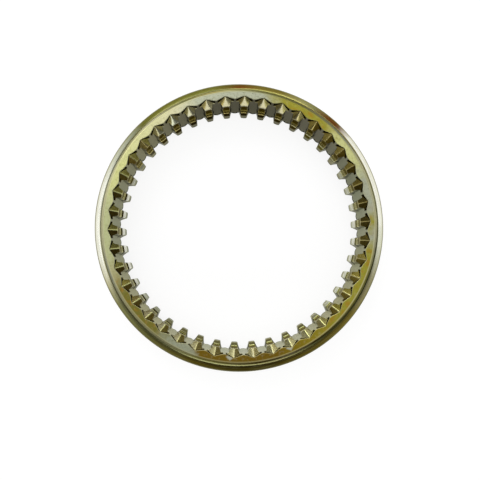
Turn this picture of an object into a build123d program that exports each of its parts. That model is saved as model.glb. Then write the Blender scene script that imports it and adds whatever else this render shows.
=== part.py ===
from build123d import *
import os
from math import acos, cos, radians, sin, sqrt, tan

# Synchronizer sleeve: one steel ring with an internal spline, whose teeth are pointed
# like roofs at both ends, a shift fork groove round the outside and bevelled rims.
# The rear face lies on z = 0, the ring's axis is Z, and a tooth is centred on +X.
# Lengths are in millimetres and angles in degrees. The radii build up from the pitch
# circle: inwards to the tooth tips, and outwards to the spaces, scallops and rim.

# Spline
tooth_count = 42
module = 2.5
pressure_angle = 17.5
tooth_thickness = 3.7            # arc on the pitch circle, at the rear block
root_depth = 1.5                 # pitch circle out to the floors of the spaces
front_tip_height = 0.5           # pitch circle in to the tips, front points to the step
rear_tip_height = 1.9            # pitch circle in to the tips, step to the rear points
rear_block_length = 10.0         # rear face to the step in the teeth
neck_relief = 0.3                # drawn in by each flank between the front points and the step
tip_chamfer = 0.35

# Detent groove across the tips of the front lands, with sides at 45 degrees
detent_from_step = 4.0           # step to the middle of the groove
detent_width = 3.8
detent_depth = 0.5

# Pointed tooth ends, with the scallops that the pointing leaves in the faces
ridge_slope = 45.0               # of the roof's ridge against the face
facet_slope = 30.0               # of each side of the roof against the face
scallop_height = 1.4             # floors of the spaces out to the crown
scallop_width = 7.0
scallop_radius = 1.5

# Ring
sleeve_width = 24.0
groove_wall = 4.0                # floors of the spaces out to the fork groove's floor
groove_depth = 3.8
groove_width = 9.0
groove_lip_chamfer = 0.5
face_land = 1.9                  # crowns of the scallops out to the edge of the flat face
rim_width = 1.3                  # narrow sloping band between the flat face and the bevel
rim_drop = 0.4
knee_inset = 1.35                # outside in to the bevel's knee, where it gets steeper
knee_depth = 2.0                 # face to the knee, along the axis
bevel_length = 4.0               # face to the end of the bevel, along the axis

# Lengths by which joining and cutting shapes pass through each other
root_overlap = 1.0
cut_clearance = 1.0

pitch_radius = module * tooth_count / 2
base_radius = pitch_radius * cos(radians(pressure_angle))
root_radius = pitch_radius + root_depth
front_tip_radius = pitch_radius - front_tip_height
rear_tip_radius = pitch_radius - rear_tip_height
crown_radius = root_radius + scallop_height
groove_radius = root_radius + groove_wall
outer_radius = groove_radius + groove_depth
face_radius = crown_radius + face_land
half_width = sleeve_width / 2


def involute(angle):
    """Involute function of an angle in radians."""
    return tan(angle) - angle


def half_tooth_angle(radius, thickness):
    """Half angle of an internal tooth at a radius, from its arc thickness on the pitch circle.

    The flank is an involute, and radial inside the base circle, where there is no involute.
    """
    pressure_here = acos(min(base_radius / radius, 1))
    return thickness / 2 / pitch_radius + involute(pressure_here) - involute(radians(pressure_angle))


def polar(radius, angle):
    """Point at a radius, and at an angle in radians from +X."""
    return (radius * cos(angle), radius * sin(angle))


def tooth_section(plane, thickness, tip_radius):
    """Section of one tooth, from inside the ring's wall to its chamfered tip.

    Each flank is the chord of its involute from the root circle to the chamfer, which is
    within 0.1 mm of the curve, and it runs on in a straight line into the wall.
    """
    flank_end = tip_radius + tip_chamfer
    end_angle = half_tooth_angle(flank_end, thickness)
    tip_angle = end_angle - tip_chamfer / tip_radius
    root_point = Vector(polar(root_radius, half_tooth_angle(root_radius, thickness)))
    end_point = Vector(polar(flank_end, end_angle))
    wall_point = root_point + (root_point - end_point).normalized() * root_overlap
    with BuildSketch(plane) as section:
        with BuildLine():
            Polyline(
                (wall_point.X, 0),
                wall_point,
                end_point,
                polar(tip_radius, tip_angle),
                (tip_radius, 0),
            )
            mirror(about=Plane.XZ)
        make_face()
    return section.sketch


def roof_plane(side):
    """Plane of one side of the roof on a rear tooth end, facing into the tooth."""
    normal = (tan(radians(ridge_slope)), -side * tan(radians(facet_slope)), 1)
    return Plane(origin=(crown_radius, 0, 0), z_dir=normal)


def scallop_section(plane):
    """Plan of one scallop: straight sides from the root circle, tangent to a round crown."""
    side_y = scallop_width / 2
    shoulder_x = sqrt(root_radius**2 - side_y**2)
    inner_x = rear_tip_radius - cut_clearance
    centre_x = crown_radius - scallop_radius
    reach = sqrt((shoulder_x - centre_x) ** 2 + side_y**2)
    touch_angle = acos((shoulder_x - centre_x) / reach) - acos(scallop_radius / reach)
    touch_x = centre_x + scallop_radius * cos(touch_angle)
    touch_y = scallop_radius * sin(touch_angle)
    with BuildSketch(plane) as section:
        with BuildLine():
            ThreePointArc((touch_x, touch_y), (crown_radius, 0), (touch_x, -touch_y))
            Polyline(
                (touch_x, -touch_y),
                (shoulder_x, -side_y),
                (inner_x, -side_y),
                (inner_x, side_y),
                (shoulder_x, side_y),
                (touch_x, touch_y),
            )
        make_face()
    return section.sketch


# One tooth: a full block at the rear, and a front length whose flanks narrow to the step
with BuildPart() as tooth:
    neck_thickness = tooth_thickness - 2 * neck_relief
    step_plane = Plane.XY.offset(rear_block_length)
    front_plane = Plane.XY.offset(sleeve_width)
    extrude(tooth_section(Plane.XY, tooth_thickness, rear_tip_radius), amount=rear_block_length)
    loft(
        [
            tooth_section(step_plane, neck_thickness, front_tip_radius),
            tooth_section(front_plane, tooth_thickness, front_tip_radius),
        ],
        ruled=True,
    )

# What points a rear tooth end: the scallop's plan, less the roof that it leaves standing
with BuildPart() as roof:
    cut_height = crown_radius - rear_tip_radius + scallop_width
    extrude(scallop_section(Plane.XY.offset(-cut_clearance)), amount=cut_height)
    for side in (1, -1):
        split(bisect_by=roof_plane(side), keep=Keep.TOP)
with BuildPart() as pointing_cutter:
    extrude(scallop_section(Plane.XY.offset(-cut_clearance)), amount=cut_height)
    add(roof.part, mode=Mode.SUBTRACT)

with BuildPart() as sleeve:
    # Ring, turned from one section that is the same on both sides of the middle
    bore_radius = root_radius - cut_clearance
    middle_plane = Plane(origin=(0, 0, half_width), x_dir=(1, 0, 0), z_dir=(0, -1, 0))
    with BuildSketch(middle_plane):
        with BuildLine():
            Polyline(
                (groove_radius, 0),
                (bore_radius, 0),
                (bore_radius, half_width),
                (face_radius, half_width),
                (face_radius + rim_width, half_width - rim_drop),
                (outer_radius - knee_inset, half_width - knee_depth),
                (outer_radius, half_width - bevel_length),
                (outer_radius, groove_width / 2 + groove_lip_chamfer),
                (outer_radius - groove_lip_chamfer, groove_width / 2),
                (groove_radius, groove_width / 2),
                (groove_radius, 0),
            )
        make_face()
        mirror(about=Plane.XZ)
    revolve(axis=Axis.Z)

    # Floors of the spaces: flats on the root circle, whose corners the teeth cover
    with BuildSketch():
        RegularPolygon(root_radius, tooth_count, major_radius=False)
    extrude(amount=sleeve_width, mode=Mode.SUBTRACT)

    with PolarLocations(0, tooth_count):
        add(tooth.part)

    # Detent groove
    with BuildSketch(Plane.XZ):
        detent_z = rear_block_length + detent_from_step
        floor_half = detent_width / 2 - detent_depth
        floor_radius = front_tip_radius + detent_depth
        mouth_half = detent_width / 2 + cut_clearance
        mouth_radius = front_tip_radius - cut_clearance
        Polygon(
            (mouth_radius, detent_z - mouth_half),
            (floor_radius, detent_z - floor_half),
            (floor_radius, detent_z + floor_half),
            (mouth_radius, detent_z + mouth_half),
            align=None,
        )
    revolve(axis=Axis.Z, mode=Mode.SUBTRACT)

    # Pointed ends and scallops, rear then front
    with PolarLocations(0, tooth_count):
        add(pointing_cutter.part, mode=Mode.SUBTRACT)
    front_cutter = pointing_cutter.part.mirror(Plane.XY.offset(half_width))
    with PolarLocations(0, tooth_count):
        add(front_cutter, mode=Mode.SUBTRACT)

sleeve.part.label = "sleeve"
os.makedirs("parts", exist_ok=True)
export_step(sleeve.part, "parts/sleeve.step")
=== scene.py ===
import math
from types import SimpleNamespace

import bpy
import numpy as np
from mathutils import Matrix, Vector


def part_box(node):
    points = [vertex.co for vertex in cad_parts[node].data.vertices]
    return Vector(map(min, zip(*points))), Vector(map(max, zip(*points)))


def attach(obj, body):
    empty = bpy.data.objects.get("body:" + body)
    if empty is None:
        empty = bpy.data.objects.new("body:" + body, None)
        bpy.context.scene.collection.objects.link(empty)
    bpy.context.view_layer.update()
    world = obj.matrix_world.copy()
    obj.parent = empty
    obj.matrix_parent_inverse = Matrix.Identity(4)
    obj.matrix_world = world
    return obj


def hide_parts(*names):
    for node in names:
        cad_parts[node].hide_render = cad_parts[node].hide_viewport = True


# A synchronizer sleeve: a steel ring with an internal spline of pointed teeth, lying on its
# rear face. One mesh stands for the ring, and its finish changes with how each surface was
# cut. Lengths are in millimetres up to the mesh, which is in metres, and angles in radians.

MM = 0.001

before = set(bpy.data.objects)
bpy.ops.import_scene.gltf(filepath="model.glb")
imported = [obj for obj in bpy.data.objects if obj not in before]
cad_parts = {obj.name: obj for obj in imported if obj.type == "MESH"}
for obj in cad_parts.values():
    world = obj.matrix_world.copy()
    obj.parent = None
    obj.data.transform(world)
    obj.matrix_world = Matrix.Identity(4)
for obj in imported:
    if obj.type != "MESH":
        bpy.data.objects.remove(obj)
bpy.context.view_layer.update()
box_low, box_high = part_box("sleeve")

# Sizes of the ring and its spline, as in the part's source
SLEEVE_WIDTH = (box_high.z - box_low.z) / MM
OUTER_RADIUS = (box_high.x - box_low.x) / 2 / MM
TOOTH_COUNT = 42
PITCH_RADIUS = 52.5
PRESSURE_ANGLE = math.radians(17.5)
TOOTH_THICKNESS = 3.7
NECK_RELIEF = 0.3
ROOT_RADIUS = 54.0
FRONT_TIP_RADIUS = 52.0
REAR_TIP_RADIUS = 50.6
STEP_Z = 10.0
DETENT_Z = 14.0
DETENT_WIDTH = 3.8
DETENT_DEPTH = 0.5
RIDGE_SLOPE = math.radians(45)
FACET_SLOPE = math.radians(30)
CROWN_RADIUS = 55.4
SCALLOP_WIDTH = 7.0
SCALLOP_CROWN = 1.5
FACE_RADIUS = 57.3
RIM_WIDTH = 1.3
RIM_DROP = 0.4
KNEE_INSET = 1.35
KNEE_DEPTH = 2.0
BEVEL_LENGTH = 4.0
GROOVE_RADIUS = 58.0
GROOVE_WIDTH = 9.0
GROOVE_LIP = 0.5

# Rows of a roof between the scallop's edge and the tooth's tip, as shares of that way
ROOF_SHARES = (0.3, 0.55, 0.78)

# Roundings that the tools and wear have left on the edges
TIP_ROUND = 0.42
ROOT_ROUND = 0.3
RIDGE_ROUND = 0.16
RIDGE_FLARE = 0.4
SHEEN_FLARE = 4.0
CUSP_ROUND = 0.5

HALF_PITCH = math.pi / TOOTH_COUNT
BASE_RADIUS = PITCH_RADIUS * math.cos(PRESSURE_ANGLE)
HALF_WIDTH = SLEEVE_WIDTH / 2
SHOULDER_X = math.sqrt(ROOT_RADIUS**2 - (SCALLOP_WIDTH / 2) ** 2)
SHOULDER_ANGLE = math.atan2(SCALLOP_WIDTH / 2, SHOULDER_X)

# Half the angle between the two columns at a scallop's shoulder, the depth of the wall under a
# scallop's edge, and how close to a face a point counts as lying on it
SHOULDER_GAP = 0.0006
WALL_DEPTH = 0.5
ON_FACE = 1e-4


def involute(angle):
    """Involute function: the tangent of an angle, less the angle."""
    return np.tan(angle) - angle


def half_tooth_angle(radius, thickness):
    """Half angle of a tooth at a radius.

    It is half the tooth's arc on the pitch circle, plus the growth of the involute.
    """
    pressure_here = np.arccos(np.minimum(BASE_RADIUS / np.asarray(radius, float), 1))
    return thickness / 2 / PITCH_RADIUS + involute(pressure_here) - involute(PRESSURE_ANGLE)


def pulled_curve(start, corner, end, shares):
    """Points of a quadratic curve: (1-t)^2 start + 2t(1-t) corner + t^2 end, for each share t."""
    t = np.asarray(shares, float).reshape((-1,) + (1,) * np.ndim(start))
    return (1 - t) ** 2 * start + 2 * t * (1 - t) * corner + t**2 * end


# Columns of the section, from a tooth's middle to the middle of the next space
TIP_SHARES = np.array([0, 0.06, 0.13, 0.22, 0.38, 0.6, 0.82, 1])
CORNER_SHARES = np.array([0.3, 0.6, 1])
FLANK_COLUMNS = 4
FILLET_SHARES = np.array([0.5, 1])
SPACE_START = half_tooth_angle(ROOT_RADIUS, TOOTH_THICKNESS) + ROOT_ROUND / ROOT_RADIUS
SHOULDER_ANGLES = SHOULDER_ANGLE + SHOULDER_GAP * np.array([-1, 1])
SHOULDER_SHARES = (SHOULDER_ANGLES - SPACE_START) / (HALF_PITCH - SPACE_START)
SPACE_SHARES = np.concatenate([
    SHOULDER_SHARES[0] * np.array([0.35, 0.7, 1]),
    SHOULDER_SHARES[1] + (1 - SHOULDER_SHARES[1]) * np.array([0, 0.3, 0.62, 1]),
])
TIP_COLUMNS = len(TIP_SHARES) + len(CORNER_SHARES) - 1
FLANK_END = TIP_COLUMNS + FLANK_COLUMNS
SHOULDER_COLUMN = FLANK_END + len(FILLET_SHARES) + 3


def tooth_section(thickness, tip_radius):
    """Radius and angle by column.

    The angle grows along the tip, a rounded corner turns into the involute flank, and a
    small fillet turns from that into the floor of the space.
    """
    tip_angle = half_tooth_angle(tip_radius, thickness)
    flank_start = tip_radius + TIP_ROUND
    flank_end = ROOT_RADIUS - ROOT_ROUND
    corner_start = np.array([tip_radius, tip_angle - TIP_ROUND / tip_radius])
    corner_end = np.array([flank_start, half_tooth_angle(flank_start, thickness)])
    root_angle = half_tooth_angle(ROOT_RADIUS, thickness)
    fillet_start = np.array([flank_end, half_tooth_angle(flank_end, thickness)])
    fillet_end = np.array([ROOT_RADIUS, root_angle + ROOT_ROUND / ROOT_RADIUS])
    tip = np.stack([np.full(len(TIP_SHARES), tip_radius), TIP_SHARES * corner_start[1]], -1)
    corner = pulled_curve(corner_start, np.array([tip_radius, tip_angle]), corner_end, CORNER_SHARES)
    flank_radius = np.linspace(flank_start, flank_end, FLANK_COLUMNS + 1)[1:]
    flank = np.stack([flank_radius, half_tooth_angle(flank_radius, thickness)], -1)
    fillet = pulled_curve(fillet_start, np.array([ROOT_RADIUS, root_angle]), fillet_end, FILLET_SHARES)
    space_angle = fillet_end[1] + SPACE_SHARES * (HALF_PITCH - fillet_end[1])
    space = np.stack([np.full(len(SPACE_SHARES), ROOT_RADIUS), space_angle], -1)
    return np.concatenate([tip, corner, flank, fillet, space]).T


def scallop_edge(angle):
    """Radius of a scallop's edge by angle.

    It is a round crown, a straight side, and a soft turn to the root circle.
    """
    centre_x = CROWN_RADIUS - SCALLOP_CROWN
    reach = math.hypot(SHOULDER_X - centre_x, SCALLOP_WIDTH / 2)
    touch = math.acos((SHOULDER_X - centre_x) / reach) - math.acos(SCALLOP_CROWN / reach)
    touch_x = centre_x + SCALLOP_CROWN * math.cos(touch)
    touch_y = SCALLOP_CROWN * math.sin(touch)
    slope = (SHOULDER_X - touch_x) / (SCALLOP_WIDTH / 2 - touch_y)
    side = (touch_x - slope * touch_y) / (np.cos(angle) - slope * np.sin(angle))
    under_root = np.maximum(SCALLOP_CROWN**2 - (centre_x * np.sin(angle)) ** 2, 0)
    crown = centre_x * np.cos(angle) + np.sqrt(under_root)
    edge = np.where(angle < math.atan2(touch_y, touch_x), crown, side)
    return (edge + ROOT_RADIUS + np.sqrt((edge - ROOT_RADIUS) ** 2 + CUSP_ROUND**2)) / 2


def roof_depth(radius, angle):
    """Depth of the roof below its face: it falls inwards along the ridge, and away from the ridge.

    Wear has rounded the ridge, more so towards the tooth's tip.
    """
    inward = CROWN_RADIUS - radius * np.cos(angle)
    share = np.clip(inward / (CROWN_RADIUS - FRONT_TIP_RADIUS), 0, 1)
    rounding = RIDGE_ROUND + RIDGE_FLARE * share**3
    across = np.sqrt((radius * np.sin(angle)) ** 2 + rounding**2)
    return inward * math.tan(RIDGE_SLOPE) + across * math.tan(FACET_SLOPE)


def roof_normals(vertices, up):
    """Normals of the roofs at an end that faces up (1) or down (-1).

    They lean inwards by the ridge's slope and sideways by the facet's. The sideways lean fades
    in from the ridge, softly near the tooth's tip, where wear has made the facets hollow.
    """
    x, y, _ = vertices.T
    turn = np.arctan2(y, x)
    tooth = np.round(turn / 2 / HALF_PITCH) * 2 * HALF_PITCH
    radius = np.hypot(x, y)
    across = radius * np.sin(turn - tooth)
    below_crown = CROWN_RADIUS - radius * np.cos(turn - tooth)
    share = np.clip(below_crown / (CROWN_RADIUS - FRONT_TIP_RADIUS), 0, 1)
    wear = np.interp(np.degrees(turn) % 360, *zip(*TENT_SHARES))
    hollow = RIDGE_ROUND + SHEEN_FLARE * wear * share**2
    lean = math.tan(FACET_SLOPE) * across / np.hypot(across, hollow)
    inward = -math.tan(RIDGE_SLOPE)
    normals = np.stack([
        inward * np.cos(tooth) - lean * np.sin(tooth),
        inward * np.sin(tooth) + lean * np.cos(tooth),
        np.full(len(x), up),
    ], -1)
    return normals / np.linalg.norm(normals, axis=1, keepdims=True)


def points(radius, angle, height):
    """Points x = radius cos angle, y = radius sin angle, z = height, in one array."""
    radius, angle, height = np.broadcast_arrays(radius, angle, height)
    return np.stack([radius * np.cos(angle), radius * np.sin(angle), height], -1)


def neck_thickness(height):
    """Thickness of a tooth's front length: full at the front face, and relieved towards the step."""
    return TOOTH_THICKNESS - 2 * NECK_RELIEF * (SLEEVE_WIDTH - height) / (SLEEVE_WIDTH - STEP_Z)


def pointed_end(thickness, tip_radius, tip_thickness):
    """Radius, angle and depth of each row of a pointed end, from the flat face to the tooth's tip.

    Past the scallop's shoulder there is no roof, and its rows run down the floor of the space.
    """
    edge_angle = tooth_section(thickness, tip_radius)[1]
    edge = scallop_edge(edge_angle)
    tip, tip_angle = tooth_section(tip_thickness, tip_radius)
    inside = edge_angle < SHOULDER_ANGLE
    last_inside = np.flatnonzero(inside)[-1]
    yield edge + 1, edge_angle, 0
    yield edge, edge_angle, 0
    for share in (0,) + ROOF_SHARES + (1,):
        radius = edge + (tip - edge) * share
        angle = edge_angle + (tip_angle - edge_angle) * share
        depth = np.maximum(roof_depth(radius, angle), 0) + WALL_DEPTH * (1 - share)
        shallow = WALL_DEPTH + (depth[last_inside] - WALL_DEPTH) * share
        yield radius, angle, np.where(inside, depth, shallow)


def spline_corners():
    """Corners of the spline's surface from the front face to the rear face, by row and column."""
    land_depth = roof_depth(FRONT_TIP_RADIUS, 0.0)
    land_thickness = neck_thickness(SLEEVE_WIDTH - land_depth)
    front_end = pointed_end(TOOTH_THICKNESS, FRONT_TIP_RADIUS, land_thickness)
    rear_end = list(pointed_end(TOOTH_THICKNESS, REAR_TIP_RADIUS, TOOTH_THICKNESS))
    rows = [points(radius, angle, SLEEVE_WIDTH - depth) for radius, angle, depth in front_end]
    floor_radius = FRONT_TIP_RADIUS + DETENT_DEPTH
    mouth = DETENT_WIDTH / 2
    floor = mouth - DETENT_DEPTH
    for height, at_floor in ((mouth, False), (floor, True), (-floor, True), (-mouth, False)):
        z = DETENT_Z + height
        radius, angle = tooth_section(neck_thickness(z), FRONT_TIP_RADIUS)
        if at_floor:
            flank_angle = half_tooth_angle(floor_radius, neck_thickness(z))
            first = np.flatnonzero(radius >= floor_radius)[0]
            angle = np.where(radius < floor_radius, angle * flank_angle / angle[first], angle)
            radius = np.maximum(radius, floor_radius)
        rows.append(points(radius, angle, z))
    neck_radius, neck_angle = tooth_section(neck_thickness(STEP_Z), FRONT_TIP_RADIUS)
    block_radius, block_angle = tooth_section(TOOTH_THICKNESS, REAR_TIP_RADIUS)
    rows.append(points(neck_radius, neck_angle, STEP_Z))
    rows.append(points(block_radius, block_angle, STEP_Z))
    rows += [points(radius, angle, depth) for radius, angle, depth in rear_end[::-1]]
    return np.array(rows)


# Corners of the spline's rows: rounding in millimetres, points on it, and the finishes of the
# rounding and of the stretch that follows it
FACE_CORNER = (0.22, 3, "edge", "wall")
WALL_FOOT = (0.08, 2, "wall", "point")
ON_ROOF = (0, 1, "point", "point")
SPLINE_LINE = (
    FACE_CORNER,
    WALL_FOOT,
    *[ON_ROOF] * len(ROOF_SHARES),
    (0.28, 4, "point", "land"),
    (0.12, 2, "land", "land"),
    (0.1, 2, "land", "land"),
    (0.1, 2, "land", "land"),
    (0.12, 2, "land", "land"),
    (0.3, 3, "land", "block"),
    (0.2, 3, "block", "block"),
    (0.25, 4, "block", "point"),
    *[ON_ROOF] * len(ROOF_SHARES),
    (0.08, 2, "point", "wall"),
    (0.22, 3, "edge", "face"),
)

# Rows whose normals lean with the roof, counted from either face
FIRST_ROOF_ROW = 4
ROOF_ROWS = len(ROOF_SHARES) + 2

# Outside of the ring from the front face to the middle: radius, height, rounding, points on it, and
# the finishes of the rounding and of the stretch that follows it
OUTSIDE_LINE = (
    (FACE_RADIUS, SLEEVE_WIDTH, 0.3, 4, "edge", "rim"),
    (FACE_RADIUS + RIM_WIDTH, SLEEVE_WIDTH - RIM_DROP, 0.38, 3, "edge", "bevel"),
    (OUTER_RADIUS - KNEE_INSET, SLEEVE_WIDTH - KNEE_DEPTH, 1.0, 5, "bevel", "bevel"),
    (OUTER_RADIUS, SLEEVE_WIDTH - BEVEL_LENGTH, 0.7, 4, "bevel", "groove"),
    (OUTER_RADIUS, HALF_WIDTH + GROOVE_WIDTH / 2 + GROOVE_LIP, 0.2, 2, "groove", "groove"),
    (OUTER_RADIUS - GROOVE_LIP, HALF_WIDTH + GROOVE_WIDTH / 2, 0.2, 2, "groove", "groove"),
    (GROOVE_RADIUS, HALF_WIDTH + GROOVE_WIDTH / 2, 0.5, 4, "groove", "groove"),
)
OUTSIDE_PER_PITCH = 10
OUTSIDE_COLUMNS = OUTSIDE_PER_PITCH * TOOTH_COUNT


def rounded_rows(corners, rounds, steps):
    """Rows of points along a broken line that runs through each column's corners.

    At each corner the line leaves its straight stretch one rounding before the corner and
    joins the next one as far behind it, on a quadratic curve. Where a stretch is short, the
    rounding takes up to 0.45 of it.
    """
    rows = []
    for before, corner, after, size, count in zip(corners, corners[1:], corners[2:], rounds, steps):
        back = before - corner
        onward = after - corner
        back_length = np.linalg.norm(back, axis=-1, keepdims=True) + 1e-9
        onward_length = np.linalg.norm(onward, axis=-1, keepdims=True) + 1e-9
        start = corner + back * np.minimum(size / back_length, 0.45)
        end = corner + onward * np.minimum(size / onward_length, 0.45)
        rows.extend(pulled_curve(start, corner, end, np.linspace(0, 1, count)))
    return np.array(rows)


def whole_turn(half_rows):
    """Rows all round the ring: a half pitch and its mirror, turned once for each tooth."""
    mirrored = half_rows[:, :0:-1] * np.array([1, -1, 1])
    pitch = np.concatenate([mirrored, half_rows[:, :-1]], axis=1)
    turns = 2 * HALF_PITCH * np.arange(TOOTH_COUNT)[:, None]
    x = pitch[:, None, :, 0] * np.cos(turns) - pitch[:, None, :, 1] * np.sin(turns)
    y = pitch[:, None, :, 0] * np.sin(turns) + pitch[:, None, :, 1] * np.cos(turns)
    z = np.broadcast_to(pitch[:, None, :, 2], x.shape)
    return np.stack([x, y, z], -1).reshape(len(half_rows), -1, 3)


def outside_rows():
    """Rows of the ring's outside: the rounded profile and its mirror, turned about the axis."""
    front = np.array([(radius, 0, height) for radius, height, *_ in OUTSIDE_LINE])
    front = np.concatenate([front[:1] - np.array([1, 0, 0]), front])
    rear = front[::-1] * np.array([1, 1, -1]) + np.array([0, 0, SLEEVE_WIDTH])
    both_ways = OUTSIDE_LINE + OUTSIDE_LINE[::-1]
    rounds = [row[2] for row in both_ways]
    steps = [row[3] for row in both_ways]
    line = rounded_rows(np.concatenate([front, rear]), rounds, steps)
    angle = 2 * math.pi * np.arange(OUTSIDE_COLUMNS) / OUTSIDE_COLUMNS - HALF_PITCH
    return points(line[:, None, 0], angle[None, :], line[:, None, 2])


def grid_quads(rows, columns):
    """Corner indices of the quads of a closed band, whose last column joins the first."""
    row = np.arange(rows - 1)[:, None] * columns
    column = np.arange(columns)[None, :]
    following = (column + 1) % columns
    next_row = row + columns
    corners = (row + column, row + following, next_row + following, next_row + column)
    return np.stack(corners, -1).reshape(-1, 4)


def weighted_normals(vertices, triangles):
    """Normal at each vertex: the sum of its triangles' cross products, so that wide faces stay flat."""
    corner = vertices[triangles]
    cross = np.cross(corner[:, 1] - corner[:, 0], corner[:, 2] - corner[:, 0])
    total = np.zeros_like(vertices)
    for k in range(3):
        np.add.at(total, triangles[:, k], cross)
    return total / (np.linalg.norm(total, axis=1, keepdims=True) + 1e-12)


FINISHES = ("face", "edge", "rim", "bevel", "groove", "point", "wall", "spline", "land", "block")


def row_finishes(line):
    """Number of the finish of each row of quads, to the stretch after a line's last corner."""
    names = []
    for points_on_it, rounding_finish, stretch_finish in line:
        names += [rounding_finish] * (points_on_it - 1) + [stretch_finish]
    return np.array([FINISHES.index(name) for name in names])


def spline_finishes(half_columns):
    """Number of the finish of each quad of the spline, by row and by column of the whole turn.

    Lands and blocks end at the tooth's flanks, and walls and points at the scallop's shoulder.
    """
    column = np.concatenate([np.arange(half_columns - 1)[::-1], np.arange(half_columns - 1)])
    by_row = row_finishes([row[1:] for row in SPLINE_LINE])[:-1]
    grid = np.repeat(by_row[:, None], len(column), axis=1)
    spline = FINISHES.index("spline")
    grid[(grid == FINISHES.index("land")) & (column >= TIP_COLUMNS)] = spline
    grid[(grid == FINISHES.index("block")) & (column >= FLANK_END)] = spline
    on_point = (grid == FINISHES.index("wall")) | (grid == FINISHES.index("point"))
    grid[on_point & (column >= SHOULDER_COLUMN)] = spline
    return np.tile(grid, (1, TOOTH_COUNT))


def outside_finishes():
    """Number of the finish of each row of quads of the outside: the front half and its mirror."""
    half = row_finishes([row[3:] for row in OUTSIDE_LINE])
    return np.concatenate([half, half[-2::-1]])


def make_sleeve():
    """The ring as one closed mesh: the spline, the outside, and a flat band on each face."""
    corners = spline_corners()
    rounds = [row[0] for row in SPLINE_LINE]
    steps = [row[1] for row in SPLINE_LINE]
    spline = whole_turn(rounded_rows(corners, rounds, steps))
    outside = outside_rows()
    spline_columns = spline.shape[1]
    per_pitch = spline_columns // TOOTH_COUNT
    outside_start = len(spline) * spline_columns
    vertices = np.concatenate([spline.reshape(-1, 3), outside.reshape(-1, 3)]) * MM
    quads = np.concatenate([
        grid_quads(len(spline), spline_columns),
        grid_quads(len(outside), OUTSIDE_COLUMNS)[:, ::-1] + outside_start,
    ])
    # Of each face: its row of the spline, its row of the outside, and which way round it runs
    bands = []
    front_rows = (0, 0, -1)
    rear_rows = (len(spline) - 1, len(outside) - 1, 1)
    for spline_row, outside_row, turn_over in (front_rows, rear_rows):
        for tooth in range(TOOTH_COUNT):
            inner = (tooth * per_pitch + np.arange(per_pitch + 1)) % spline_columns
            outer = tooth * OUTSIDE_PER_PITCH + np.arange(OUTSIDE_PER_PITCH + 1)
            outer = outer % OUTSIDE_COLUMNS
            ring = np.concatenate([
                spline_row * spline_columns + inner,
                outside_start + outside_row * OUTSIDE_COLUMNS + outer[::-1],
            ])
            bands.append(ring[::turn_over].tolist())
    mesh = bpy.data.meshes.new("sleeve_ring")
    mesh.from_pydata(vertices, [], quads.tolist() + bands)
    triangles = np.concatenate([quads[:, [0, 1, 2]], quads[:, [0, 2, 3]]])
    normals = weighted_normals(vertices, triangles)
    half_columns = corners.shape[1]
    column = np.concatenate([np.arange(half_columns - 1, 0, -1), np.arange(half_columns - 1)])
    on_roof = np.flatnonzero(np.tile(column < SHOULDER_COLUMN, TOOTH_COUNT))
    last_roof_row = len(spline) - FIRST_ROOF_ROW - ROOF_ROWS
    for first_row, up in ((FIRST_ROOF_ROW, 1.0), (last_roof_row, -1.0)):
        rows = first_row + np.arange(ROOF_ROWS)
        chosen = (rows[:, None] * spline_columns + on_roof).ravel()
        normals[chosen] = roof_normals(vertices[chosen] / MM, up)
    normals[vertices[:, 2] > (SLEEVE_WIDTH - ON_FACE) * MM] = (0, 0, 1)
    normals[vertices[:, 2] < ON_FACE * MM] = (0, 0, -1)
    mesh.shade_smooth()
    mesh.normals_split_custom_set_from_vertices(normals)
    mesh.polygons.foreach_set("material_index", np.concatenate([
        spline_finishes(half_columns).ravel(),
        np.repeat(outside_finishes(), OUTSIDE_COLUMNS),
        np.full(len(bands), FINISHES.index("face")),
    ]).astype(np.int32))
    return mesh


def linear(hex_colour):
    """Linear colour with alpha from an sRGB hex value."""
    channels = [int(hex_colour[k:k + 2], 16) / 255 for k in (1, 3, 5)]
    light = [c / 12.92 if c <= 0.04045 else ((c + 0.055) / 1.055) ** 2.4 for c in channels]
    return (*light, 1.0)


def add_node(tree, kind, settings=None, inputs=None):
    """Adds a node, sets its settings, and sets or links each named or numbered input."""
    node = tree.nodes.new(kind)
    for name, value in (settings or {}).items():
        setattr(node, name, value)
    for key, value in (inputs or {}).items():
        if isinstance(value, bpy.types.NodeSocket):
            tree.links.new(value, node.inputs[key])
        else:
            node.inputs[key].default_value = value
    return node


def maths(tree, operation, *values):
    """Result of one arithmetic step on numbers or sockets."""
    settings = {"operation": operation}
    return add_node(tree, "ShaderNodeMath", settings, dict(enumerate(values))).outputs[0]


def step_share(tree, value, low, high, most=1.0):
    """Share that rises smoothly from 0 at low to most at high."""
    settings = {"interpolation_type": "SMOOTHSTEP"}
    inputs = {0: value, 1: low, 2: high, 3: 0.0, 4: most}
    return add_node(tree, "ShaderNodeMapRange", settings, inputs).outputs[0]


def band_share(tree, value, low, high, border):
    """Share that is 1 between low and high, and falls to 0 over the border on each side."""
    rise = step_share(tree, value, low - border, low)
    fall = step_share(tree, value, high + border, high)
    return maths(tree, "MULTIPLY", rise, fall)


def mix(tree, share, first, second, blend="MIX"):
    """Two colours mixed by a share, each a hex value or a socket."""
    inputs = {0: share}
    for key, colour in ((6, first), (7, second)):
        inputs[key] = linear(colour) if isinstance(colour, str) else colour
    settings = {"data_type": "RGBA", "blend_type": blend}
    return add_node(tree, "ShaderNodeMix", settings, inputs).outputs[2]


def noise(tree, vector, size_mm, detail=2.0, roughness=0.5):
    """Noise whose blotches are about size_mm across."""
    return add_node(tree, "ShaderNodeTexNoise", inputs={
        "Vector": vector, "Scale": 1 / (size_mm * MM), "Detail": detail, "Roughness": roughness,
    }).outputs[0]


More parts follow.
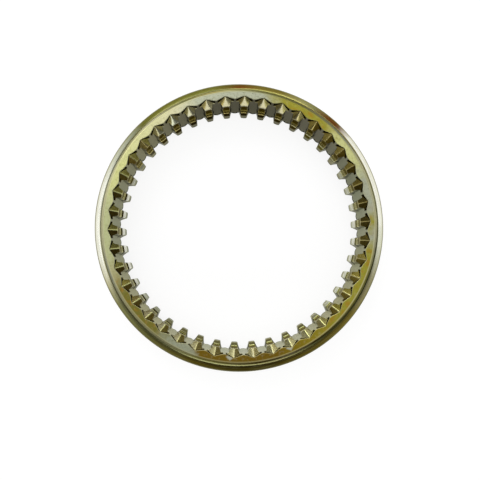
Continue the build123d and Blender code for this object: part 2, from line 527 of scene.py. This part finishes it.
def placed(tree):
    """Where a point lies on the ring.

    This is the turn, from 0 to 1 round the axis; in millimetres the radius, the height and the
    distance across from the middle of the nearest tooth; and whether the point lies on that
    tooth's leading side (1), which has the greater turn, or not (0).
    """
    vector = add_node(tree, "ShaderNodeTexCoord").outputs["Object"]
    x, y, z = add_node(tree, "ShaderNodeSeparateXYZ", inputs={0: vector}).outputs
    turn = maths(tree, "FRACT", maths(tree, "MULTIPLY", maths(tree, "ARCTAN2", y, x), 0.5 / math.pi))
    squares = maths(tree, "MULTIPLY_ADD", x, x, maths(tree, "MULTIPLY", y, y))
    radius = maths(tree, "MULTIPLY", maths(tree, "SQRT", squares), 1 / MM)
    pitches = maths(tree, "FRACT", maths(tree, "MULTIPLY_ADD", turn, float(TOOTH_COUNT), 0.5))
    offset = maths(tree, "ABSOLUTE", maths(tree, "SUBTRACT", pitches, 0.5))
    across = maths(tree, "MULTIPLY", maths(tree, "MULTIPLY", offset, 2 * HALF_PITCH), radius)
    height = maths(tree, "MULTIPLY", z, 1 / MM)
    leading = step_share(tree, pitches, 0.499, 0.501)
    return SimpleNamespace(
        vector=vector,
        turn=turn,
        radius=radius,
        height=height,
        across=across,
        leading=leading,
    )


def ramp(tree, turn, stops):
    """Colour by turn, blended between stops, which are pairs of degrees and colour."""
    node = add_node(tree, "ShaderNodeValToRGB", inputs={0: turn})
    elements = node.color_ramp.elements
    while len(elements) < len(stops):
        elements.new(1.0)
    for element, (degrees, colour) in zip(elements, stops):
        element.position = degrees / 360
        element.color = colour
    return node.outputs[0]


def share_by_turn(tree, spot, shares):
    """Share by turn, from pairs of degrees and share."""
    return ramp(tree, spot.turn, [(degrees, (share, share, share, 1)) for degrees, share in shares])


def oil_and_light_by_turn(tree, spot, tints, size_mm=4.0, reach_degrees=4.0):
    """Colour by turn, from pairs of degrees and tint: the oil's own colour, together with the light,
    shade and reflections painted in round the ring.

    Noise in blotches of size_mm pushes its borders to and fro, so that they are irregular.
    """
    push = maths(tree, "SUBTRACT", noise(tree, spot.vector, size_mm, 3.0), 0.5)
    turn = maths(tree, "FRACT", maths(tree, "MULTIPLY_ADD", push, reach_degrees / 180, spot.turn))
    return ramp(tree, turn, [(degrees, linear(tint)) for degrees, tint in tints])


def streaks(tree, spot, size_mm, turns=4.0):
    """Noise in streaks about size_mm wide that run round the ring."""
    x, y, _ = add_node(tree, "ShaderNodeSeparateXYZ", inputs={0: spot.vector}).outputs
    scale = maths(tree, "DIVIDE", turns / MM, spot.radius)
    across = maths(tree, "MULTIPLY", maths(tree, "SUBTRACT", spot.radius, spot.height), 1 / size_mm)
    vector = add_node(tree, "ShaderNodeCombineXYZ", inputs={
        0: maths(tree, "MULTIPLY", x, scale), 1: maths(tree, "MULTIPLY", y, scale), 2: across,
    }).outputs[0]
    inputs = {"Vector": vector, "Scale": 1.0, "Detail": 2.0}
    return add_node(tree, "ShaderNodeTexNoise", inputs=inputs).outputs[0]


def bump(tree, height, distance_mm, strength=1.0):
    """Normal of a surface whose height varies by up to distance_mm."""
    inputs = {"Strength": strength, "Distance": distance_mm * MM, "Height": height}
    return add_node(tree, "ShaderNodeBump", inputs=inputs).outputs[0]


def steel(name, finish, roughness, edge_tint):
    """A steel material. Its finish function gives the colour, and the normal if it has one."""
    material = bpy.data.materials.new(name)
    material.use_nodes = True
    tree = material.node_tree
    shader = tree.nodes["Principled BSDF"]
    shader.inputs["Metallic"].default_value = 1.0
    shader.inputs["Roughness"].default_value = roughness
    shader.inputs["Specular Tint"].default_value = linear(edge_tint)
    colour, normal = finish(tree, placed(tree))
    tree.links.new(colour, shader.inputs["Base Color"])
    if normal is not None:
        tree.links.new(normal, shader.inputs["Normal"])
    return material


# Tints of steel under the oil, from bare to thick, which also stand for light, shade and reflections
# painted round the ring
BRIGHT = "#f0f0e4"
IVORY = "#f0ecb8"
BARE = "#d6d8c4"
CREAM = "#dcd8a8"
STRAW = "#d8cc88"
PALE = "#c6c788"
LINEN = "#c0bc98"
SEDGE = "#b4b888"
HAY = "#b8b07c"
SILVER = "#a6a992"
FLAX = "#a8a478"
ASH = "#949880"
SAND = "#a0945c"
STONE = "#908c70"
KHAKI = "#8c8858"
REED = "#8c8848"
GOLD = "#969034"
SAGE = "#787850"
DRAB = "#7c7038"
SLATE = "#6c685c"
LODEN = "#6c6844"
AMBER = "#85751d"
OLIVE = "#746e30"
BRONZE = "#685c28"
FERN = "#64642c"
MOSS = "#585834"
TAUPE = "#504c40"
BROWN = "#6d5614"
TOBACCO = "#584c20"
RUST = "#5e2c10"
UMBER = "#463b12"
# Painted shade: the darkest tint, for shadowed places
DEEP_SHADE = "#2c240c"

# Where the tints lie round the ring, in degrees. Besides the oil's own colour, they paint in light,
# shade and reflections as these fall round the ring.
# Faces: the oil's own colour, with reflections painted in by turn
FACE_OIL_AND_LIGHT_TINTS = (
    (0, GOLD), (5, SILVER), (18, SILVER), (27, PALE), (38, PALE), (48, GOLD), (68, GOLD), (78, SILVER),
    (106, SILVER), (116, LINEN), (150, PALE), (160, PALE), (168, SEDGE), (188, SEDGE), (199, FLAX),
    (209, OLIVE), (230, OLIVE), (238, ASH), (246, ASH), (250, BROWN), (285, BROWN), (298, AMBER),
    (318, GOLD), (347, GOLD), (353, SILVER), (360, GOLD),
)
# Rim bands: painted light and shade, pale at the sides of the ring and dark at the bottom
RIM_LIGHT_TINTS = (
    (0, IVORY), (26, CREAM), (38, SILVER), (55, FLAX), (66, REED), (90, KHAKI), (100, DRAB), (112, MOSS),
    (130, STONE), (146, FLAX), (158, IVORY), (182, IVORY), (198, SILVER), (214, FLAX), (234, FLAX),
    (248, REED), (256, OLIVE), (272, UMBER), (302, UMBER), (324, OLIVE), (338, REED), (350, LINEN),
    (360, IVORY),
)
# Bevels: painted reflections, white at the sides of the ring and dark at the top and bottom
BEVEL_REFLECTION_TINTS = (
    (0, BRIGHT), (37, BRIGHT), (44, RUST), (49, RUST), (55, SAGE), (62, KHAKI), (70, BRONZE),
    (80, BRONZE), (88, RUST), (93, TOBACCO), (99, FERN), (131, FERN), (138, ASH), (152, BARE),
    (162, BRIGHT), (191, BRIGHT), (202, LINEN), (212, SAGE), (226, MOSS), (248, UMBER), (262, DEEP_SHADE),
    (275, DEEP_SHADE), (300, UMBER), (320, BRONZE), (336, STONE), (350, BARE), (360, BRIGHT),
)
# Spaces: painted shade, dark at the top of the ring and pale at the bottom
SPLINE_SHADE_TINTS = (
    (0, SILVER), (17, ASH), (45, SLATE), (75, TAUPE), (105, TAUPE), (137, STONE), (180, SILVER),
    (220, LINEN), (270, BARE), (320, LINEN), (360, SILVER),
)
# Rounded edges of the rim bands: painted light and shade by turn
RIM_EDGE_LIGHT_TINTS = (
    (0, SAGE), (15, KHAKI), (40, SAND), (70, REED), (100, MOSS), (138, KHAKI), (155, SILVER),
    (195, FLAX), (215, LODEN), (240, SAGE), (258, SAGE), (285, LODEN), (300, MOSS), (318, MOSS),
    (345, MOSS), (360, SAGE),
)
# Facets on a tooth's leading side: painted light and shade by the way they face
LEADING_FACET_LIGHT = (
    (0, DRAB), (55, DRAB), (70, SAND), (95, SAND), (112, LODEN), (125, LODEN), (145, TOBACCO),
    (212, TOBACCO), (235, DRAB), (262, SAND), (280, HAY), (296, FLAX), (315, OLIVE), (360, DRAB),
)
# Facets on a tooth's trailing side: painted light and shade by the way they face
TRAILING_FACET_LIGHT = (
    (0, BRONZE), (25, UMBER), (50, UMBER), (66, KHAKI), (88, KHAKI), (100, CREAM), (118, HAY),
    (135, REED), (195, REED), (210, BRONZE), (228, STONE), (262, FLAX), (275, CREAM), (292, CREAM),
    (312, BRONZE), (360, BRONZE),
)
# Edges of the faces: wear, with a painted sheen by turn
WEAR_AND_SHEEN_TINTS = (
    (0, LINEN), (60, REED), (85, SAGE), (100, LODEN), (128, SAGE), (142, FLAX), (156, LINEN),
    (200, LINEN), (240, FLAX), (300, HAY), (330, LINEN), (360, LINEN),
)
# Edges at the points' feet: a painted highlight, dark at the top of the ring
EDGE_HIGHLIGHT_TINTS = (
    (0, LINEN), (30, TOBACCO), (60, DEEP_SHADE), (125, DEEP_SHADE), (142, TOBACCO), (170, LINEN), (225, FLAX),
    (250, IVORY), (295, IVORY), (330, HAY), (360, LINEN),
)
# Lands: painted shade and reflections, dark at the top of the ring
LAND_SHADE_TINTS = (
    (0, KHAKI), (30, TOBACCO), (60, DEEP_SHADE), (115, DEEP_SHADE), (140, TOBACCO), (170, KHAKI), (222, PALE),
    (250, HAY), (285, HAY), (308, STRAW), (340, HAY), (360, KHAKI),
)
# Detent grooves: the light and shade of their slopes, painted by turn
DETENT_LIGHT_TINTS = (
    (0, CREAM), (40, SAND), (60, DRAB), (115, DRAB), (140, SAND), (170, CREAM), (215, LINEN),
    (240, REED), (262, DRAB), (308, DRAB), (328, LINEN), (360, CREAM),
)
# Feet of the lands at the step: painted light and shade by turn
FOOT_SHADE_TINTS = (
    (0, FLAX), (15, CREAM), (50, CREAM), (75, SAND), (110, SAND), (125, STRAW), (142, STRAW),
    (160, UMBER), (222, UMBER), (240, FLAX), (268, PALE), (325, PALE), (345, KHAKI), (360, FLAX),
)
# Steps: painted shade, dark at the top of the ring where the wall shades them, and painted highlights at
# the sides
STEP_LIGHT_TINTS = (
    (0, BRIGHT), (20, BARE), (40, OLIVE), (60, UMBER), (78, DEEP_SHADE), (112, DEEP_SHADE), (135, UMBER),
    (150, SILVER), (162, BRIGHT), (200, BRIGHT), (218, SILVER), (236, LODEN), (305, LODEN), (322, BARE),
    (345, BRIGHT), (360, BRIGHT),
)
# Block tips: painted shade, dark at the top of the ring
BLOCK_SHADE_TINTS = (
    (0, BARE), (30, STONE), (60, SLATE), (115, SLATE), (140, STONE), (180, SILVER), (230, SILVER),
    (275, LINEN), (320, LINEN), (360, BARE),
)
# Ridges: strips worn bare, with a painted highlight by turn
RIDGE_WEAR_AND_SHEEN_TINTS = (
    (0, SAND), (50, SAND), (68, STONE), (108, STONE), (122, SILVER), (138, SAND), (152, PALE),
    (212, PALE), (240, KHAKI), (275, STONE), (305, PALE), (335, HAY), (360, SAND),
)

# How strong a thing is round the ring: the wear and painted highlight that widen the ridges' bare
# strips, the orange stain and the pits, as pairs of degrees and share
TENT_SHARES = (
    (0, 0.02), (45, 0.02), (58, 0.3), (67, 1.0), (122, 1.0), (140, 0.05), (240, 0.02), (360, 0.02),
)
STAIN_SHARES = (
    (0, 0.5), (8, 0), (40, 0), (48, 0.6), (62, 0.5), (68, 0), (196, 0), (205, 0.5), (225, 0.5), (234, 0),
    (296, 0), (310, 0.5), (345, 0.6), (352, 0), (360, 0.5),
)
PIT_SHARES = (
    (0, 0.6), (28, 0.6), (38, 0), (64, 0.3), (72, 1), (104, 1), (114, 0), (225, 0), (240, 1),
    (252, 0), (360, 0.6),
)

# Colours that don't change round the ring
FACE_BLOOM = "#c4c9b0"
WIPED_STEEL = "#b4b8a8"
ORANGE_STAIN = "#9c701c"
PIT_DARK = "#35372c"
RIM_STREAK = "#c9c69c"
# Painted shade at the bevels' outer edge
OUTER_EDGE_SHADE = "#5c5b4b"
GROOVE_DRY = "#a4a48e"
GROOVE_OILY = "#8d8650"
THICK_OIL = "#e6e0d0"
# Painted shade on the walls under the scallops' edges
WALL_SHADE_DARK = "#282411"
WALL_SHADE_BROWN = "#3e381c"
BROACHED_GREY = "#6a6b64"
SPACE_END = "#3c3c32"
BLOCK_END = "#4c4a40"

# Wiped spots on the faces: their turns in degrees, the radius they lie at, the share of a turn by
# which they narrow with each millimetre away from it, and the shares of a turn at which they end
# and are full
WIPED_TURNS = (264.0, 290.5)
WIPED_RADIUS = 55.2
WIPED_NARROWING = 0.0035
WIPED_REACH = (0.0065, 0.003)

# Reach of the irregular borders between the faces' tints, in degrees
FACE_REACH = 7.0

# Sizes of the finishes, in millimetres: the turning rings, the blotches of oil on the rims, and
# the radii and heights between which a finish changes
FACE_RINGS = 0.35
GROOVE_RINGS = 0.3
RIM_BLOTCH = 8.0
RIM_EDGE_START = (FACE_RADIUS + 0.75, FACE_RADIUS + 0.85)
OUTER_EDGE_START = (OUTER_RADIUS - 0.85, OUTER_RADIUS - 0.4)
SPACE_END_HEIGHTS = (2.8, 2.0)
POINT_LINE_HEIGHTS = (18.7, 19.3)
DARK_BAND_HEIGHTS = (16.2, 18.2)
DETENT_HEIGHTS = (12.3, 15.7)
LAND_FOOT_HEIGHTS = (12.1, 11.7)
STEP_HEIGHTS = (STEP_Z - 0.5, STEP_Z - 0.25)
STEP_FOOT_RADII = (FRONT_TIP_RADIUS - 0.45, FRONT_TIP_RADIUS - 0.25)
BLOCK_END_HEIGHTS = (7.2, 6.4)


def turned_face(tree, spot):
    """Faces, turned: fine rings, a mottled coat of oil with reflections painted in by turn, orange
    stains, dark pits, and two spots wiped bare.
    """
    colour = oil_and_light_by_turn(tree, spot, FACE_OIL_AND_LIGHT_TINTS, reach_degrees=FACE_REACH)
    mottle = noise(tree, spot.vector, 1.2, 3.0)
    colour = mix(tree, step_share(tree, mottle, 0.5, 0.75, 0.14), colour, FACE_BLOOM)
    colour = mix(tree, step_share(tree, mottle, 0.5, 0.3, 0.25), colour, OLIVE)
    for degrees in WIPED_TURNS:
        away = maths(tree, "ABSOLUTE", maths(tree, "SUBTRACT", spot.turn, degrees / 360))
        aside = maths(tree, "ABSOLUTE", maths(tree, "SUBTRACT", spot.radius, WIPED_RADIUS))
        aside = maths(tree, "MULTIPLY", aside, WIPED_NARROWING)
        wiped = step_share(tree, maths(tree, "ADD", away, aside), *WIPED_REACH, 0.8)
        colour = mix(tree, wiped, colour, WIPED_STEEL)
    stain = step_share(tree, noise(tree, spot.vector, 2.4, 3.0), 0.5, 0.62)
    stain = maths(tree, "MULTIPLY", stain, share_by_turn(tree, spot, STAIN_SHARES))
    colour = mix(tree, stain, colour, ORANGE_STAIN)
    pits = noise(tree, spot.vector, 0.5, 2.0)
    pits = maths(tree, "MULTIPLY_ADD", share_by_turn(tree, spot, PIT_SHARES), 0.085, pits)
    colour = mix(tree, step_share(tree, pits, 0.69, 0.74, 0.75), colour, PIT_DARK)
    rings = maths(tree, "SINE", maths(tree, "MULTIPLY", spot.radius, 2 * math.pi / FACE_RINGS))
    relief = maths(tree, "MULTIPLY_ADD", rings, 0.25, noise(tree, spot.vector, 0.5, 3.0))
    return colour, bump(tree, relief, 0.04, 0.35)


def worn_sheen_edge(tree, spot):
    """Edges of the faces, worn bright with a painted sheen, and of the rim bands, where more oil is
    left and light and shade are painted in by turn.
    """
    oil_and_light_tone = oil_and_light_by_turn(tree, spot, FACE_OIL_AND_LIGHT_TINTS, reach_degrees=FACE_REACH)
    colour = mix(tree, 0.5, oil_and_light_tone, oil_and_light_by_turn(tree, spot, WEAR_AND_SHEEN_TINTS))
    on_rim = step_share(tree, spot.radius, *RIM_EDGE_START)
    return mix(tree, on_rim, colour, oil_and_light_by_turn(tree, spot, RIM_EDGE_LIGHT_TINTS, RIM_BLOTCH)), None


def rim_band(tree, spot):
    """Sloping bands at the rims, turned smooth, with pale streaks round the ring and light and
    shade painted in by turn.
    """
    colour = oil_and_light_by_turn(tree, spot, RIM_LIGHT_TINTS, RIM_BLOTCH)
    streak = step_share(tree, streaks(tree, spot, 0.5), 0.52, 0.64, 0.2)
    relief = noise(tree, spot.vector, 0.4, 2.0)
    return mix(tree, streak, colour, RIM_STREAK), bump(tree, relief, 0.03, 0.2)


def ground_bevel(tree, spot):
    """Bevels, ground smooth, with runs of brown in the oil, reflections painted in by turn, and
    painted shade at the outer edge.
    """
    colour = oil_and_light_by_turn(tree, spot, BEVEL_REFLECTION_TINTS, RIM_BLOTCH)
    streak = streaks(tree, spot, 0.5)
    colour = mix(tree, step_share(tree, streak, 0.56, 0.68, 0.15), colour, PALE)
    colour = mix(tree, step_share(tree, streak, 0.46, 0.36, 0.3), colour, OLIVE)
    stain = noise(tree, spot.vector, 1.8, 4.0, 0.6)
    colour = mix(tree, step_share(tree, stain, 0.6, 0.78, 0.35), colour, BROWN)
    # Painted shade at the outer edge
    outer_edge = step_share(tree, spot.radius, *OUTER_EDGE_START, 0.85)
    relief = noise(tree, spot.vector, 0.4, 2.0)
    return mix(tree, outer_edge, colour, OUTER_EDGE_SHADE), bump(tree, relief, 0.03, 0.2)


def turned_groove(tree, spot):
    """Outside and fork groove, turned: fine rings round the axis and a thin even coat of oil."""
    mottle = noise(tree, spot.vector, 3.0, 3.0)
    colour = mix(tree, step_share(tree, mottle, 0.35, 0.7, 0.6), GROOVE_DRY, GROOVE_OILY)
    rings = maths(tree, "SINE", maths(tree, "MULTIPLY", spot.height, 2 * math.pi / GROOVE_RINGS))
    return colour, bump(tree, rings, 0.03, 0.3)


def milled_point(tree, spot):
    """Pointed tooth ends, milled: thick oil on the slopes, with painted light and shade that differ
    by turn and by the side each facet faces, and a strip along the ridge worn bare, with a painted
    highlight.

    At the top of the ring the strip widens towards the tooth's tip.
    """
    inward = maths(tree, "SUBTRACT", CROWN_RADIUS, spot.radius)
    share = maths(tree, "DIVIDE", inward, CROWN_RADIUS - FRONT_TIP_RADIUS)
    widening = share_by_turn(tree, spot, TENT_SHARES)
    spread = maths(tree, "MULTIPLY", maths(tree, "POWER", share, 2.0), widening)
    reach = maths(tree, "MULTIPLY_ADD", spread, 2.2, 0.2)
    off_ridge = maths(tree, "DIVIDE", spot.across, reach)
    # Strip along the ridge: worn bare, with a painted highlight
    worn_sheen = step_share(tree, off_ridge, 1.2, 0.8)
    mottle = noise(tree, spot.vector, 1.4, 3.0)
    # Painted light and shade, different on each side of a tooth
    trailing = oil_and_light_by_turn(tree, spot, TRAILING_FACET_LIGHT)
    oil_and_light_tone = mix(tree, spot.leading, trailing, oil_and_light_by_turn(tree, spot, LEADING_FACET_LIGHT))
    thick = mix(tree, 1.0, oil_and_light_tone, THICK_OIL, "MULTIPLY")
    oil_and_light_tone = mix(tree, step_share(tree, mottle, 0.35, 0.7), oil_and_light_tone, thick)
    return mix(tree, worn_sheen, oil_and_light_tone, oil_and_light_by_turn(tree, spot, RIDGE_WEAR_AND_SHEEN_TINTS)), None


def scallop_wall(tree, spot):
    """Walls under the scallops' edges, painted dark as shade."""
    mottle = noise(tree, spot.vector, 0.8, 3.0)
    return mix(tree, mottle, WALL_SHADE_DARK, WALL_SHADE_BROWN), None


def broached_spline(tree, spot):
    """Flanks and floors of the spaces, broached: a dry, fine-grained grey with shade painted in by
    turn, darker at the rear end.
    """
    grain = noise(tree, spot.vector, 0.35, 3.0)
    colour = oil_and_light_by_turn(tree, spot, SPLINE_SHADE_TINTS)
    colour = mix(tree, step_share(tree, grain, 0.35, 0.65, 0.3), colour, BROACHED_GREY)
    rear_end = step_share(tree, spot.height, *SPACE_END_HEIGHTS, 0.75)
    colour = mix(tree, rear_end, colour, SPACE_END)
    return colour, bump(tree, grain, 0.04, 0.4)


def shaded_land(tree, spot):
    """Tooth tips on the front length, ground and polished by the hub.

    From the points down, with light, shade and reflections painted in by turn: a painted
    highlight at the point's edge, a dark band of painted shade, the detent groove, and the foot of
    the land at the step.
    """
    # Painted shade and reflections by turn
    colour = oil_and_light_by_turn(tree, spot, LAND_SHADE_TINTS)
    # Painted light and shade in the detent groove
    in_detent = band_share(tree, spot.height, *DETENT_HEIGHTS, 0.3)
    colour = mix(tree, in_detent, colour, oil_and_light_by_turn(tree, spot, DETENT_LIGHT_TINTS))
    # Painted shade: a dark band below the point's edge
    dark_band = band_share(tree, spot.height, *DARK_BAND_HEIGHTS, 0.35)
    colour = mix(tree, maths(tree, "MULTIPLY", dark_band, 0.7), colour, DEEP_SHADE)
    # Painted highlight along the point's edge
    edge = step_share(tree, spot.height, *POINT_LINE_HEIGHTS)
    colour = mix(tree, edge, colour, oil_and_light_by_turn(tree, spot, EDGE_HIGHLIGHT_TINTS))
    # Painted light and shade at the land's foot
    foot = step_share(tree, spot.height, *LAND_FOOT_HEIGHTS)
    return mix(tree, foot, colour, oil_and_light_by_turn(tree, spot, FOOT_SHADE_TINTS)), None


def rear_block(tree, spot):
    """Steps and tips of the rear blocks, ground, with light and shade painted in by turn, painted
    shade in the corner at the step's foot, and darker along the rear edge.
    """
    # Painted light and shade by turn on the block tips and steps
    on_step = step_share(tree, spot.height, *STEP_HEIGHTS)
    colour = mix(tree, on_step, oil_and_light_by_turn(tree, spot, BLOCK_SHADE_TINTS), oil_and_light_by_turn(tree, spot, STEP_LIGHT_TINTS))
    # Painted shade in the corner at the step's foot
    foot = step_share(tree, spot.radius, *STEP_FOOT_RADII, 0.7)
    colour = mix(tree, foot, colour, DEEP_SHADE)
    rear_edge = step_share(tree, spot.height, *BLOCK_END_HEIGHTS, 0.8)
    return mix(tree, rear_edge, colour, BLOCK_END), None


def dress_sleeve():
    """The ring's mesh with its finishes, in the order of their numbers."""
    mesh = make_sleeve()
    finish_of = {
        "face": ("turned_face_steel", turned_face, 0.38, "#ffffff"),
        "edge": ("worn_sheen_edge_steel", worn_sheen_edge, 0.3, "#ffffff"),
        "rim": ("turned_rim_steel", rim_band, 0.28, "#ffffff"),
        "bevel": ("ground_bevel_steel", ground_bevel, 0.24, "#dcd8bc"),
        "groove": ("turned_groove_steel", turned_groove, 0.32, "#ffffff"),
        "point": ("milled_point_steel", milled_point, 0.26, "#ffffff"),
        "wall": ("scallop_wall_steel", scallop_wall, 0.4, "#808080"),
        "spline": ("broached_spline_steel", broached_spline, 0.5, "#d0d0c0"),
        "land": ("shaded_land_steel", shaded_land, 0.24, "#b4b0a0"),
        "block": ("rear_block_steel", rear_block, 0.3, "#c8c8b8"),
    }
    for name in FINISHES:
        mesh.materials.append(steel(*finish_of[name]))
    sleeve = bpy.data.objects.new("sleeve_ring", mesh)
    bpy.context.scene.collection.objects.link(sleeve)
    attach(sleeve, "root")
    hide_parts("sleeve")


# Floor: half its side in metres, its colour for light, and what the eye sees of it
FLOOR_REACH = 1.5
FLOOR_PAINT = "#f6f6f6"
FLOOR_VEIL = "#7c7c7c"
FLOOR_GLOW = 0.86


def pale_floor():
    """A wide white floor.

    Camera, glossy and transmission rays see it mostly as plain white, and a soft shadow stays.
    """
    mesh = bpy.data.meshes.new("studio_floor")
    corners = [(x * FLOOR_REACH, y * FLOOR_REACH, 0) for x, y in ((-1, -1), (1, -1), (1, 1), (-1, 1))]
    mesh.from_pydata(corners, [], [(0, 1, 2, 3)])
    material = bpy.data.materials.new("white_studio_floor")
    material.use_nodes = True
    tree = material.node_tree
    tree.nodes.clear()
    path = add_node(tree, "ShaderNodeLightPath").outputs
    seen = maths(tree, "MAXIMUM", path["Is Camera Ray"], path["Is Glossy Ray"])
    seen = maths(tree, "MAXIMUM", seen, path["Is Transmission Ray"])
    paint = add_node(tree, "ShaderNodeBsdfDiffuse", inputs={"Color": linear(FLOOR_PAINT)}).outputs[0]
    veil = add_node(tree, "ShaderNodeBsdfDiffuse", inputs={"Color": linear(FLOOR_VEIL)}).outputs[0]
    glow = {"Color": (1, 1, 1, 1), "Strength": FLOOR_GLOW}
    glow = add_node(tree, "ShaderNodeEmission", inputs=glow).outputs[0]
    plain_white = add_node(tree, "ShaderNodeAddShader", inputs={0: glow, 1: veil}).outputs[0]
    surface = {0: seen, 1: paint, 2: plain_white}
    surface = add_node(tree, "ShaderNodeMixShader", inputs=surface).outputs[0]
    add_node(tree, "ShaderNodeOutputMaterial", inputs={"Surface": surface})
    mesh.materials.append(material)
    floor = bpy.data.objects.new("studio_floor", mesh)
    bpy.context.scene.collection.objects.link(floor)


# Brightness of the room round the ring
ROOM_BRIGHTNESS = 0.22

# Soft lamps: name, turn and elevation in degrees, distance, width and height in metres, brightness
LAMPS = (
    ("overhead_lamp", 90, 86, 0.9, 1.8, 1.2, 0.75),
    ("key_lamp", 110, 47, 0.75, 0.5, 0.45, 1.9),
    ("near_lamp", 270, 24, 0.6, 0.6, 0.22, 3.0),
    ("far_lamp", 92, 9.5, 0.6, 0.76, 0.2, 3.8),
    ("left_lamp", 175, 8.6, 0.6, 0.5, 0.18, 1.0),
    ("right_lamp", 18, 8.6, 0.6, 0.7, 0.18, 0.75),
)


def soft_lamp(name, turn, elevation, distance, width, height, brightness):
    """A rectangular lamp that faces the ring, each point of which has the stated brightness."""
    lamp = bpy.data.lights.new(name, "AREA")
    lamp.shape = "RECTANGLE"
    lamp.size = width
    lamp.size_y = height
    lamp.energy = brightness * math.pi * width * height
    turn = math.radians(turn)
    elevation = math.radians(elevation)
    direction = Vector((
        math.cos(elevation) * math.cos(turn),
        math.cos(elevation) * math.sin(turn),
        math.sin(elevation),
    ))
    holder = bpy.data.objects.new(name, lamp)
    holder.location = direction * distance
    holder.rotation_euler = direction.to_track_quat("Z", "Y").to_euler()
    holder.visible_camera = False
    bpy.context.scene.collection.objects.link(holder)


def studio():
    """A dim room and the soft lamps."""
    world = bpy.data.worlds.new("studio_room")
    world.use_nodes = True
    background = world.node_tree.nodes["Background"]
    background.inputs["Color"].default_value = linear("#ffffff")
    background.inputs["Strength"].default_value = ROOM_BRIGHTNESS
    bpy.context.scene.world = world
    for lamp in LAMPS:
        soft_lamp(*lamp)


# Where the photograph was taken from, in its own pixels, with y down the image; the sensor's
# width in millimetres
IMAGE_SIZE = 480
FOCAL_LENGTH = 610.6
FACE_CENTRE = (239.4, 225.2)
AXIS_VANISHING_POINT = (233.5, 276.0)
FACE_DISTANCE = 257.3 * MM
TOOTH_TURN = math.radians(1.95)
SENSOR_WIDTH = 36.0


def photo_camera():
    """Camera that sees the face's centre, the ring's axis and a tooth where the photograph does."""
    middle = IMAGE_SIZE / 2
    vanishing_x, vanishing_y = AXIS_VANISHING_POINT
    up_axis = Vector((middle - vanishing_x, vanishing_y - middle, FOCAL_LENGTH)).normalized()
    tooth = Vector((math.cos(TOOTH_TURN), math.sin(TOOTH_TURN), 0))
    x_axis = (tooth - up_axis * tooth.dot(up_axis)).normalized()
    y_axis = up_axis.cross(x_axis)
    camera_to_object = Matrix((x_axis, y_axis, up_axis))
    centre_x, centre_y = FACE_CENTRE
    centre = Vector((centre_x - middle, middle - centre_y, -FOCAL_LENGTH))
    centre = centre * (FACE_DISTANCE / FOCAL_LENGTH)
    place = Vector((0, 0, SLEEVE_WIDTH * MM)) - camera_to_object @ centre
    data = bpy.data.cameras.new("photo_camera")
    data.sensor_width = SENSOR_WIDTH
    data.lens = FOCAL_LENGTH * SENSOR_WIDTH / IMAGE_SIZE
    data.clip_start = 0.01
    camera = bpy.data.objects.new("photo_camera", data)
    camera.matrix_world = Matrix.Translation(place) @ camera_to_object.to_4x4()
    bpy.context.scene.collection.objects.link(camera)
    bpy.context.scene.camera = camera


dress_sleeve()
pale_floor()
studio()
photo_camera()
bpy.context.scene.view_settings.view_transform = "Standard"
